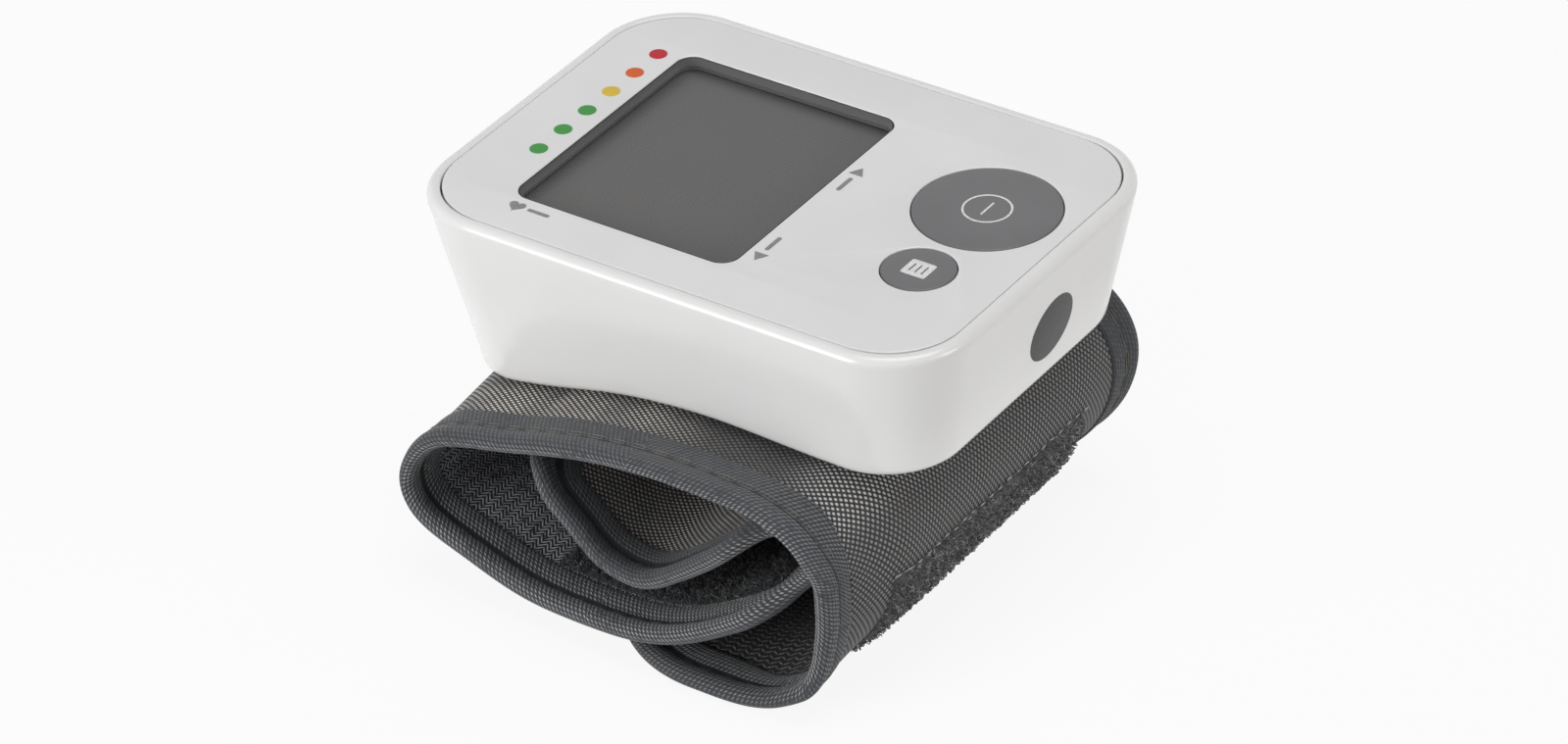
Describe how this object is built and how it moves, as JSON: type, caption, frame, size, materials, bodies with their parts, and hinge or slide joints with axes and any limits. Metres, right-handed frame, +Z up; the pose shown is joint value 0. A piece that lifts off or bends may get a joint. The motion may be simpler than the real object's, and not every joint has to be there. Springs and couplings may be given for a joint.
{
  "type": "wrist blood pressure monitor",
  "caption": "Wedge-shaped wrist blood pressure monitor with display window and round push buttons, saddled on a rolled fabric cuff with bound edges and hook-and-loop closure.",
  "frame": {"origin": "on the table under the middle of the whole object's box, with the cuff resting on its floor flap", "axes": "+X along the unit's long side from the display to the buttons, +Y away from the reader, +Z up out of the display"},
  "size_m": [0.0834, 0.0732, 0.0526],
  "materials": {
    "shell_white": "moulded gloss white",
    "panel_white": "polished gloss white",
    "clear_window": "clear, polished",
    "button_grey": "satin grey",
    "lcd_glass": "grey, unlit",
    "pale_nylon": "moulded natural nylon",
    "contact_rubber": "striped conductive rubber",
    "board_green": "solder mask",
    "black_moulding": "moulded black",
    "bright_steel": "plain plated",
    "silicone": "translucent soft tube",
    "cell_sleeve": "plain printed film",
    "woven_nylon": "dark grey dobby weave with pale pin dots",
    "knit_lining": "dark knitted loop",
    "binding_tape": "ribbed grosgrain tape",
    "pile": "brushed pile",
    "bladder_film": "soft film",
    "sprung_sheet": "thin flexible sheet"
  },
  "bodies": {
    "unit": {"housing_shell": "shell_white", "top_panel": "panel_white", "display_window": "clear_window", "start_switch_dome": "bright_steel", "memory_switch_dome": "bright_steel", "lcd_panel": "lcd_glass", "lcd_holder": "pale_nylon", "lcd_contact_strip_front": "contact_rubber", "lcd_contact_strip_back": "contact_rubber", "main_board": "board_green", "board_screw_1": "bright_steel", "board_screw_2": "bright_steel", "controller_chip": "black_moulding", "buzzer": "black_moulding", "pressure_sensor": "pale_nylon", "air_manifold": "pale_nylon", "air_pump": "bright_steel", "exhaust_valve": "bright_steel", "pump_tube": "silicone", "valve_tube": "silicone", "air_nipple": "pale_nylon", "rear_cover": "shell_white", "case_screw_1": "bright_steel", "case_screw_2": "bright_steel", "case_screw_3": "bright_steel", "case_screw_4": "bright_steel", "battery_1": "cell_sleeve", "battery_2": "cell_sleeve", "battery_link_contact": "bright_steel", "battery_contact_1": "bright_steel", "battery_contact_2": "bright_steel", "cuff_top_skin": "woven_nylon", "cuff_top_lining": "knit_lining", "cuff_top_binding_front": "binding_tape", "cuff_top_binding_back": "binding_tape", "air_bladder": "bladder_film"},
    "start_button": {"start_button": "button_grey"},
    "memory_button": {"memory_button": "button_grey"},
    "battery_door": {"battery_door": "shell_white"},
    "short_tail": {"short_tail_skin": "woven_nylon", "short_tail_lining": "knit_lining", "short_tail_sheet": "sprung_sheet", "short_tail_binding": "binding_tape", "loop_patch": "pile"},
    "long_tail": {"long_tail_skin": "woven_nylon", "long_tail_lining": "knit_lining", "long_tail_sheet": "sprung_sheet", "long_tail_binding": "binding_tape", "hook_patch": "pile"}
  },
  "joints": [
    {"name": "start_button_press", "type": "slide", "parent": "unit", "child": "start_button", "axis": [0, 0, -1], "range_m": [0, 0.0006], "stiffness_N_per_m": 1500, "springref_m": -0.0003},
    {"name": "memory_button_press", "type": "slide", "parent": "unit", "child": "memory_button", "axis": [0, 0, -1], "range_m": [0, 0.0006], "stiffness_N_per_m": 1500, "springref_m": -0.0003},
    {"name": "battery_door_off", "type": "slide", "parent": "unit", "child": "battery_door", "axis": [-1, 0, 0], "range_m": [0, 0.02]},
    {"name": "short_tail_open", "type": "hinge", "parent": "unit", "child": "short_tail", "pos_m": [0.02966, 0, 0.03014], "axis": [0, -1, 0], "range_deg": [0, 45], "stiffness_Nm_per_rad": 0.04, "springref_deg": -14.32},
    {"name": "long_tail_open", "type": "hinge", "parent": "unit", "child": "long_tail", "pos_m": [-0.02651, 0, 0.02569], "axis": [0, 1, 0], "range_deg": [0, 11.25]}
  ],
  "couplings": [
    {"joint": "long_tail_open", "follows": "short_tail_open", "ratio": 0.25}
  ]
}
